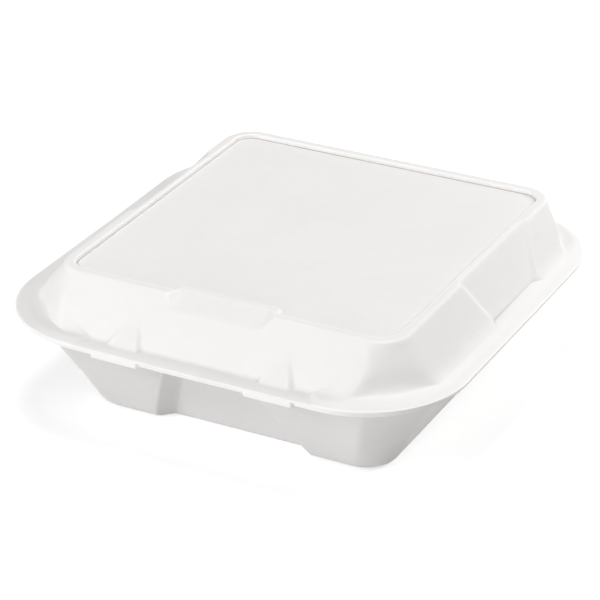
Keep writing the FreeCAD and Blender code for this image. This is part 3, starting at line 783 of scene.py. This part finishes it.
@dataclass
class Lid(PressedHalf):
    """The shallow lid, with a beaded top, a lift notch, two lugs and a dent in each side."""

    name: str = "lid_skin"
    body: str = "lid"
    node: str = "lid"
    overall_height: float = 76.0
    side_ledge: float = 11.0
    front_ledge: float = 11.0
    back_ledge: float = 10.5
    side_run: float = 15.5
    front_run: float = 20.0
    back_run: float = 5.0
    top_corner: float = 15.0
    shoulder_corner: float = 15.5
    wall_corner: float = 19.3
    foot_corner: float = 29.5
    facet: float = 0.92
    bead_width: float = 5.3
    bead_rise: float = 1.8
    bead_draft: float = 0.45
    groove: float = 0.6
    lip_width: float = 5.5
    hinge_lip: float = 1.5
    lip_fall: float = 1.0
    drop_half: float = 57.0
    drop_ramp: float = 3.0
    drop_splay: float = 0.6
    notch_half: float = 23.7
    notch_splay: float = 0.7
    notch_set_back: float = 7.0
    notch_run: float = 13.0
    notch_depth: float = 5.5
    notch_ridge: float = 3.5
    dent_depth: float = 2.1
    dent_head: tuple[float, float] = (-13.0, 63.0)
    dent_foot: tuple[float, float] = (-6.0, 41.0)
    dent_splay: float = 3.0
    lug_centre: float = 40.0
    lug_rise: float = 9.0
    lug_top: float = 2.9
    lug_foot: float = 7.3
    lug_lip: float = 7.5
    lug_flare: float = 2.5
    lug_flare_back: float = 3.4
    lug_skin: float = 2.4

    @property
    def rim_top(self) -> float:
        """Return the height of the rim's upper face."""
        return self.rim_height + self.rim_sheet

    @property
    def lip_edge(self) -> float:
        """Return the height of the lip's outer edge."""
        return self.rim_top - self.lip_fall

    @property
    def panel(self) -> float:
        """Return the height of the flat panel inside the bead."""
        return self.overall_height - self.bead_rise

    def foot(self) -> Outline:
        """Return the outside of the wall where it meets the rim."""
        return Outline(self.rim_half - self.side_ledge, self.rim_half - self.front_ledge,
                       self.rim_half - self.back_ledge, self.foot_corner, self.rim_top, self.facet)

    def top(self) -> Outline:
        """Find where the wall meets the bead.

        Returns:
            The outside of the wall there.
        """
        foot = self.foot()
        top = foot.inset(self.side_run, self.front_run, self.back_run,
                         foot.corner - self.top_corner, self.overall_height)
        return replace(top, facet=0.0)

    def inside(self, height: float) -> Outline:
        """Return the inside of the wall at a height.

        Args:
            height: how high the outline lies, in millimetres.

        Returns:
            The outline of the wall's inner face there.
        """
        foot, rise = self.foot(), self.overall_height - self.rim_top
        leans = [run / rise for run in (self.side_run, self.front_run, self.back_run)]
        side, front, back = (lean * (height - self.rim_top) + self.sheet * hypot(1.0, lean) for lean in leans)
        corner = (foot.corner - self.top_corner) / rise * (height - self.rim_top) + self.sheet / 2
        return foot.inset(side, front, back, corner, height)

    def section(self) -> list[Turn]:
        """Return the section from the middle of the top, round the rim and up to the ceiling.

        Returns:
            The turns of the lid's section, in order.
        """
        foot, top = self.foot(), self.top()
        bead = top.even(self.bead_width - self.bead_draft, self.overall_height)
        groove = top.even(self.bead_width, self.panel - self.groove)
        inner = top.even(self.bead_width + 2.0 * self.groove, self.panel)
        edge = Outline(self.rim_half, self.rim_half, self.rim_half, self.rim_corner, self.lip_edge)
        crease = edge.inset(self.lip_width, self.lip_width, self.hinge_lip, self.lip_width, self.rim_top)
        mouth = self.inside(self.rim_height)
        ceiling = self.inside(self.panel - self.sheet)
        middle = Outline(4.0, -4.0, 12.0, 3.8, self.panel)
        return [
            Turn(middle, 0.0, 8.0, "panel"),
            Turn(inner.even(8.5, self.panel), 0.0, 9.0, "panel"),
            Turn(inner, 0.4, 0.85, "panel"),
            Turn(groove, 0.25, 0.5, "panel"),
            Turn(bead, 0.5, 0.45, "bead"),
            Turn(top, 1.2, 0.7, "bead"),
            Turn(top.towards(foot, 0.25, self.shoulder_corner, 0.6), 2.4, 0.85, "wall"),
            Turn(top.towards(foot, 0.57, self.wall_corner, self.facet), 2.4, 0.85, "wall"),
            Turn(foot, 7.0, 0.85, "wall"),
            Turn(crease, 0.6, 0.9, "rim"),
            Turn(edge, 0.35, 1.0, "lip"),
            Turn(replace(edge, height=self.rim_height), 0.3, 0.8, "edge"),
            Turn(mouth, 0.8, 1.1, "under"),
            Turn(ceiling, 2.0, 1.3, "inside"),
            Turn(ceiling.even(8.0, ceiling.height), 0.0, 2.0, "ceiling"),
            Turn(replace(middle, height=ceiling.height), 0.0, 9.0, "ceiling"),
        ]

    def pressed_in(self, zones: Grid, x: Grid, y: Grid, z: Grid) -> tuple[Grid, Grid, Grid]:
        """Press in the dents, the notch, the lowered front rim and the lugs.

        Args:
            zones: the name of the zone that each point lies in.
            x: how far across each point is, in millimetres.
            y: how far along each point is.
            z: how high each point is.

        Returns:
            The x, the y and the z of the points after pressing.
        """
        across = np.abs(x)
        outer = np.isin(zones, ("panel", "bead", "wall", "rim", "lip"))
        inner = np.isin(zones, ("inside", "ceiling"))
        z = np.where(outer, soft_min(z, self.dent(across, y, 0.0), 0.6), z)
        z = np.where(inner, soft_min(z, self.dent(across, y, -self.sheet), 1.0), z)
        z = np.where(outer, soft_max(z, self.ridge(across, y), 0.5), z)
        notched = soft_min(z, self.notch(across, y, 0.0), 0.5)
        z = np.where(outer & (y < 0.0), notched, z)
        notched = soft_min(z, self.notch(across, y, -self.sheet), 1.2)
        z = np.where(inner & (y < 0.0), notched, z)
        front = outer & (y < -90.0)
        z = np.where(front, soft_min(z, self.lowered(across, y), 0.5), z)
        z = np.where(front, soft_max(z, self.lug(across, y, 0.0), 0.8), z)
        beneath = np.isin(zones, ("under", "inside")) & (y < -90.0)
        z = np.where(beneath, soft_max(z, self.lug(across, y, -self.lug_skin), 0.8), z)
        z = np.where(inner, np.maximum(z, self.rim_height), z)
        return x, y, z

    def dent(self, across: Grid, y: Grid, skin: float) -> Grid:
        """Return the surface of the shallow dent in a side wall.

        Args:
            across: how far each point is from the middle, in millimetres.
            y: how far along each point is.
            skin: how far it is moved, square to itself.

        Returns:
            The surface's height over each point.
        """
        foot, top = self.foot().half - self.dent_depth, self.top().half - self.dent_depth
        low, high = self.rim_top, self.overall_height
        plane = Slope.through((foot, 0.0, low), (foot, 1.0, low), (top, 0.0, high)).moved(skin)
        splays = (-self.dent_splay, self.dent_splay)
        ends = [Slope.through((foot, start, low), (foot + self.dent_depth, start + splay, low),
                              (top, end, high)).moved(skin)
                for start, end, splay in zip(self.dent_foot, self.dent_head, splays)]
        steep = soft_max(ends[0].height(across, y), ends[1].height(across, y), 0.5)
        return np.maximum(soft_max(plane.height(across, y), steep, 0.9), self.rim_top + 2.0 * skin)

    def notch(self, across: Grid, y: Grid, skin: float) -> Grid:
        """Return the surface of the lift notch.

        Args:
            across: how far each point is from the middle, in millimetres.
            y: how far along each point is.
            skin: how far it is moved, square to itself.

        Returns:
            The surface's height over each point.
        """
        back = self.notch_set_back - self.top().front
        fall = self.notch_depth / self.notch_run
        floor = Slope(0.0, fall, self.overall_height - fall * back)
        end = Slope(fall / self.notch_splay, fall, floor.level - fall / self.notch_splay * self.notch_half)
        return soft_max(floor.moved(skin).height(across, y), end.moved(skin).height(across, y), 0.8)

    def ridge(self, across: Grid, y: Grid) -> Grid:
        """Return the ridge that leads the bead round behind the notch.

        Args:
            across: how far each point is from the middle, in millimetres.
            y: how far along each point is.

        Returns:
            The surface's height over each point.
        """
        back = self.notch_set_back + self.notch_ridge - self.top().front
        draft = self.bead_rise / self.bead_draft
        behind = Slope(0.0, -draft, self.panel + draft * (back + self.bead_draft))
        reach = self.notch_half + self.notch_ridge + self.bead_draft
        beside = Slope(-draft, 0.0, self.panel + draft * reach)
        edge = self.top().front - self.bead_width / 2
        ahead = Slope(0.0, draft, self.overall_height + draft * edge)
        height = soft_min(behind.height(across, y), beside.height(across, y), 0.6)
        height = soft_min(height, ahead.height(across, y), 0.6)
        return soft_min(height, np.full_like(y, self.overall_height), 0.6)

    def lowered(self, across: Grid, y: Grid) -> Grid:
        """Return the lowered stretch of the front rim, with a ramp at each end.

        Args:
            across: how far each point is from the middle, in millimetres.
            y: how far along each point is.

        Returns:
            The surface's height over each point.
        """
        foot = self.foot().front
        wall = (self.overall_height - self.rim_top) / self.front_run
        floor = soft_max(np.full_like(y, self.lip_edge), self.rim_top + wall * (y + foot), 1.6)
        start = self.drop_half + self.drop_splay * np.maximum(-foot - y, 0.0)
        ramp = self.lip_edge + (across - start) * self.lip_fall / self.drop_ramp
        return soft_max(floor, ramp, 0.4)

    def lug(self, across: Grid, y: Grid, skin: float) -> Grid:
        """Return the surface of the hollow lugs.

        Args:
            across: how far each point is from the middle, in millimetres.
            y: how far along each point is.
            skin: how far it is moved, straight up.

        Returns:
            The surface's height over each point.
        """
        beside = np.abs(across - self.lug_centre)
        low, high = self.lip_edge, self.lip_edge + self.lug_rise
        front = self.lug_lip - self.rim_half
        rise = (self.overall_height - self.rim_top) / self.front_run
        apex = -self.foot().front + (high - self.rim_top) / rise
        flare = self.lug_foot + self.lug_flare
        face = Slope.through((0.0, front, low), (1.0, front, low), (0.0, apex, high))
        facet = Slope.through((self.lug_foot, front, low), (flare, front + self.lug_flare_back, low),
                              (self.lug_top, apex, high))
        side = Slope.through((flare, 0.0, low), (flare, 1.0, low), (self.lug_top + 0.25, 0.0, high))
        height = soft_min(face.height(beside, y), facet.height(beside, y), 0.4)
        return soft_min(height, side.height(beside, y), 0.5) + skin


@dataclass
class HingeWeb:
    """The creased strip of thin pressed sheet that joins the two rims at the back."""

    half: float = 64.0
    back: float = 117.5
    joint_height: float = 53.0
    reach: float = 1.9
    proud: float = 0.55
    thickness: float = 0.35
    pleat: float = 0.12
    end_taper: float = 14.0
    end_share: float = 0.02
    columns: int = 96
    rows: int = 13

    def built(self) -> bpy.types.Object:
        """Build the strip as a closed band, with small pleats along the fold.

        Returns:
            The new object, in metres.
        """
        share = np.linspace(-1.0, 1.0, self.rows)
        bow = self.proud * np.sqrt(np.clip(1.0 - share ** 4, 0.0, 1.0))
        outer = np.stack([self.back + bow, self.joint_height + self.reach * share], axis=-1)
        heights = self.joint_height + self.reach * share * 0.96
        inner = np.stack([outer[:, 0] - self.thickness, heights], axis=-1)
        loop = np.concatenate([outer, inner[::-1]])
        points, faces = [], []
        for column in range(self.columns + 1):
            x = self.half * (2 * column / self.columns - 1)
            taper = min(1.0, (1.0 - abs(x) / self.half) * self.end_taper + self.end_share)
            pleat = self.pleat * sin(column * 2.1) * cos(column * 0.37)
            for y, z in loop:
                points.append((x, self.back + (y - self.back) * taper + pleat * taper * (y > self.back), z))
        count = len(loop)
        for column in range(self.columns):
            for number in range(count):
                after = (number + 1) % count
                faces.append((column * count + number, column * count + after,
                              (column + 1) * count + after, (column + 1) * count + number))
        faces.append(tuple(reversed(range(count))))
        faces.append(tuple(self.columns * count + number for number in range(count)))
        mesh = bpy.data.meshes.new("hinge_web")
        mesh.from_pydata((np.array(points) * MILLIMETRE).tolist(), [], faces)
        mesh.update()
        mesh.shade_smooth()
        mark_crests(mesh, np.ones(len(points)))
        made = bpy.data.objects.new("hinge_web", mesh)
        bpy.context.scene.collection.objects.link(made)
        return made

    def dressed(self, made: bpy.types.Object, finish: FoamFinish) -> bpy.types.Object:
        """Give the strip its finish and bake its placement into the mesh.

        Args:
            made: the strip.
            finish: the foam it is made of.

        Returns:
            The same object.
        """
        made.data.materials.append(finish.material(Face.HINGE))
        back, low, high = self.back, self.joint_height - 1.0, self.joint_height + 1.0
        back * MILLIMETRE
        low * MILLIMETRE
        back * MILLIMETRE
        high * MILLIMETRE
        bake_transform(made)
        return made


# Studio
@dataclass(frozen=True)
class SoftBox:
    """A square studio lamp that looks at a point of the container."""

    name: str
    place: tuple[float, float, float]
    size: float
    power: float
    colour: tuple[float, float, float] = (1.0, 1.0, 1.0)
    aim: tuple[float, float, float] = (0.0, 0.0, 0.05)

    def built(self) -> bpy.types.Object:
        """Build the lamp.

        Returns:
            The new lamp, turned to its aim.
        """
        lamp = bpy.data.lights.new(self.name, "AREA")
        lamp.shape = "SQUARE"
        lamp.size = self.size
        lamp.energy = self.power
        lamp.color = self.colour
        made = bpy.data.objects.new(self.name, lamp)
        bpy.context.scene.collection.objects.link(made)
        made.location = self.place
        made.rotation_euler = (Vector(self.aim) - Vector(self.place)).to_track_quat("-Z", "Y").to_euler()
        return made


@dataclass
class Studio:
    """White sweep, soft boxes and the camera at the photograph's angle."""

    azimuth: float = 27.1
    elevation: float = 27.1
    distance: float = 1.320
    aim_height: float = 0.038
    lens: float = 159.12
    shift: tuple[float, float] = (-0.0077, 0.0045)
    ambient: float = 0.02
    floor_front: float = 3.0
    bend_start: float = 1.6
    bend_radius: float = 0.9
    backdrop_top: float = 3.2
    sweep_half: float = 4.0
    sweep: BackdropFinish = field(default_factory=BackdropFinish)
    lamps: tuple[SoftBox, ...] = (
        SoftBox("front_box", (0.0, -1.584, 0.223), 0.4, 6.8),
        SoftBox("left_low_box", (-0.661, -1.418, 0.333), 0.4, 1.9),
        SoftBox("left_front_box", (-0.554, -1.188, 0.918), 0.4, 8.4),
        SoftBox("right_back_box", (0.98, 0.98, 0.8), 0.5, 13.8, (1.0, 0.985, 0.98)),
        SoftBox("back_box", (0.0, 1.386, 0.8), 0.8, 2.6),
        SoftBox("top_box", (0.0, -0.056, 1.599), 0.5, 9.2),
    )

    def built(self) -> None:
        """Build the sweep, the lamps, the world and the camera."""
        self._sweep()
        for lamp in self.lamps:
            lamp.built()
        self._world()
        self._camera()
        bpy.context.scene.view_settings.view_transform = "Standard"

    def _sweep(self) -> None:
        """Build a floor that curves up into a backdrop."""
        start, bend = self.bend_start, self.bend_radius
        profile = [(-self.floor_front, 0.0), (start, 0.0)]
        turns = np.linspace(0.1, pi / 2, 10)
        profile += [(start + bend * sin(turn), bend - bend * cos(turn)) for turn in turns]
        profile.append((start + bend, self.backdrop_top))
        points = [(side, y, z) for y, z in profile for side in (-self.sweep_half, self.sweep_half)]
        firsts = range(0, 2 * len(profile) - 2, 2)
        faces = [(first, first + 1, first + 3, first + 2) for first in firsts]
        mesh = bpy.data.meshes.new("sweep")
        mesh.from_pydata(points, [], faces)
        mesh.shade_smooth()
        made = bpy.data.objects.new("sweep", mesh)
        made.location = (0.0, 0.0, -0.0002)
        made.rotation_euler = (0.0, 0.0, -radians(self.azimuth))
        made.data.materials.append(self.sweep.material())
        bpy.context.scene.collection.objects.link(made)

    def _world(self) -> None:
        """Light the scene evenly, and show plain white to the camera and in reflections."""
        world = bpy.data.worlds.new("studio")
        world.use_nodes = True
        board = Board(world.node_tree)
        strength = board.in_view() * (1.0 - self.ambient) + self.ambient
        light = board.node("ShaderNodeBackground", None, {"Color": WHITE, "Strength": strength})
        board.node("ShaderNodeOutputWorld", None, {"Surface": light})
        bpy.context.scene.world = world

    def _camera(self) -> None:
        """Place the camera on the photograph's line of sight."""
        around, up = radians(self.azimuth), radians(self.elevation)
        back = Vector((sin(around) * cos(up), -cos(around) * cos(up), sin(up)))
        data = bpy.data.cameras.new("camera")
        data.sensor_width = 36.0
        data.lens = self.lens
        data.shift_x, data.shift_y = self.shift
        data.clip_start = 0.05
        data.clip_end = 30.0
        made = bpy.data.objects.new("camera", data)
        made.location = back * self.distance + Vector((0.0, 0.0, self.aim_height))
        made.rotation_euler = back.to_track_quat("Z", "Y").to_euler()
        bpy.context.scene.collection.objects.link(made)
        bpy.context.scene.camera = made


def main() -> None:
    """Load the frame, build the container's looks and its studio, and log each skin's face count."""
    logging.basicConfig(level=logging.INFO, format="%(name)s: %(message)s")
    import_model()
    foam = FoamFinish()
    for half, face in ((Tray(), Face.TRAY), (Lid(), Face.LID)):
        skin = half.dressed(half.built(), foam, face)
        LOG.info("%s: %d faces", skin.name, len(skin.data.polygons))
    hinge = HingeWeb()
    web = hinge.dressed(hinge.built(), foam)
    LOG.info("%s: %d faces", web.name, len(web.data.polygons))
    Studio().built()


if __name__ == "__main__":
    main()
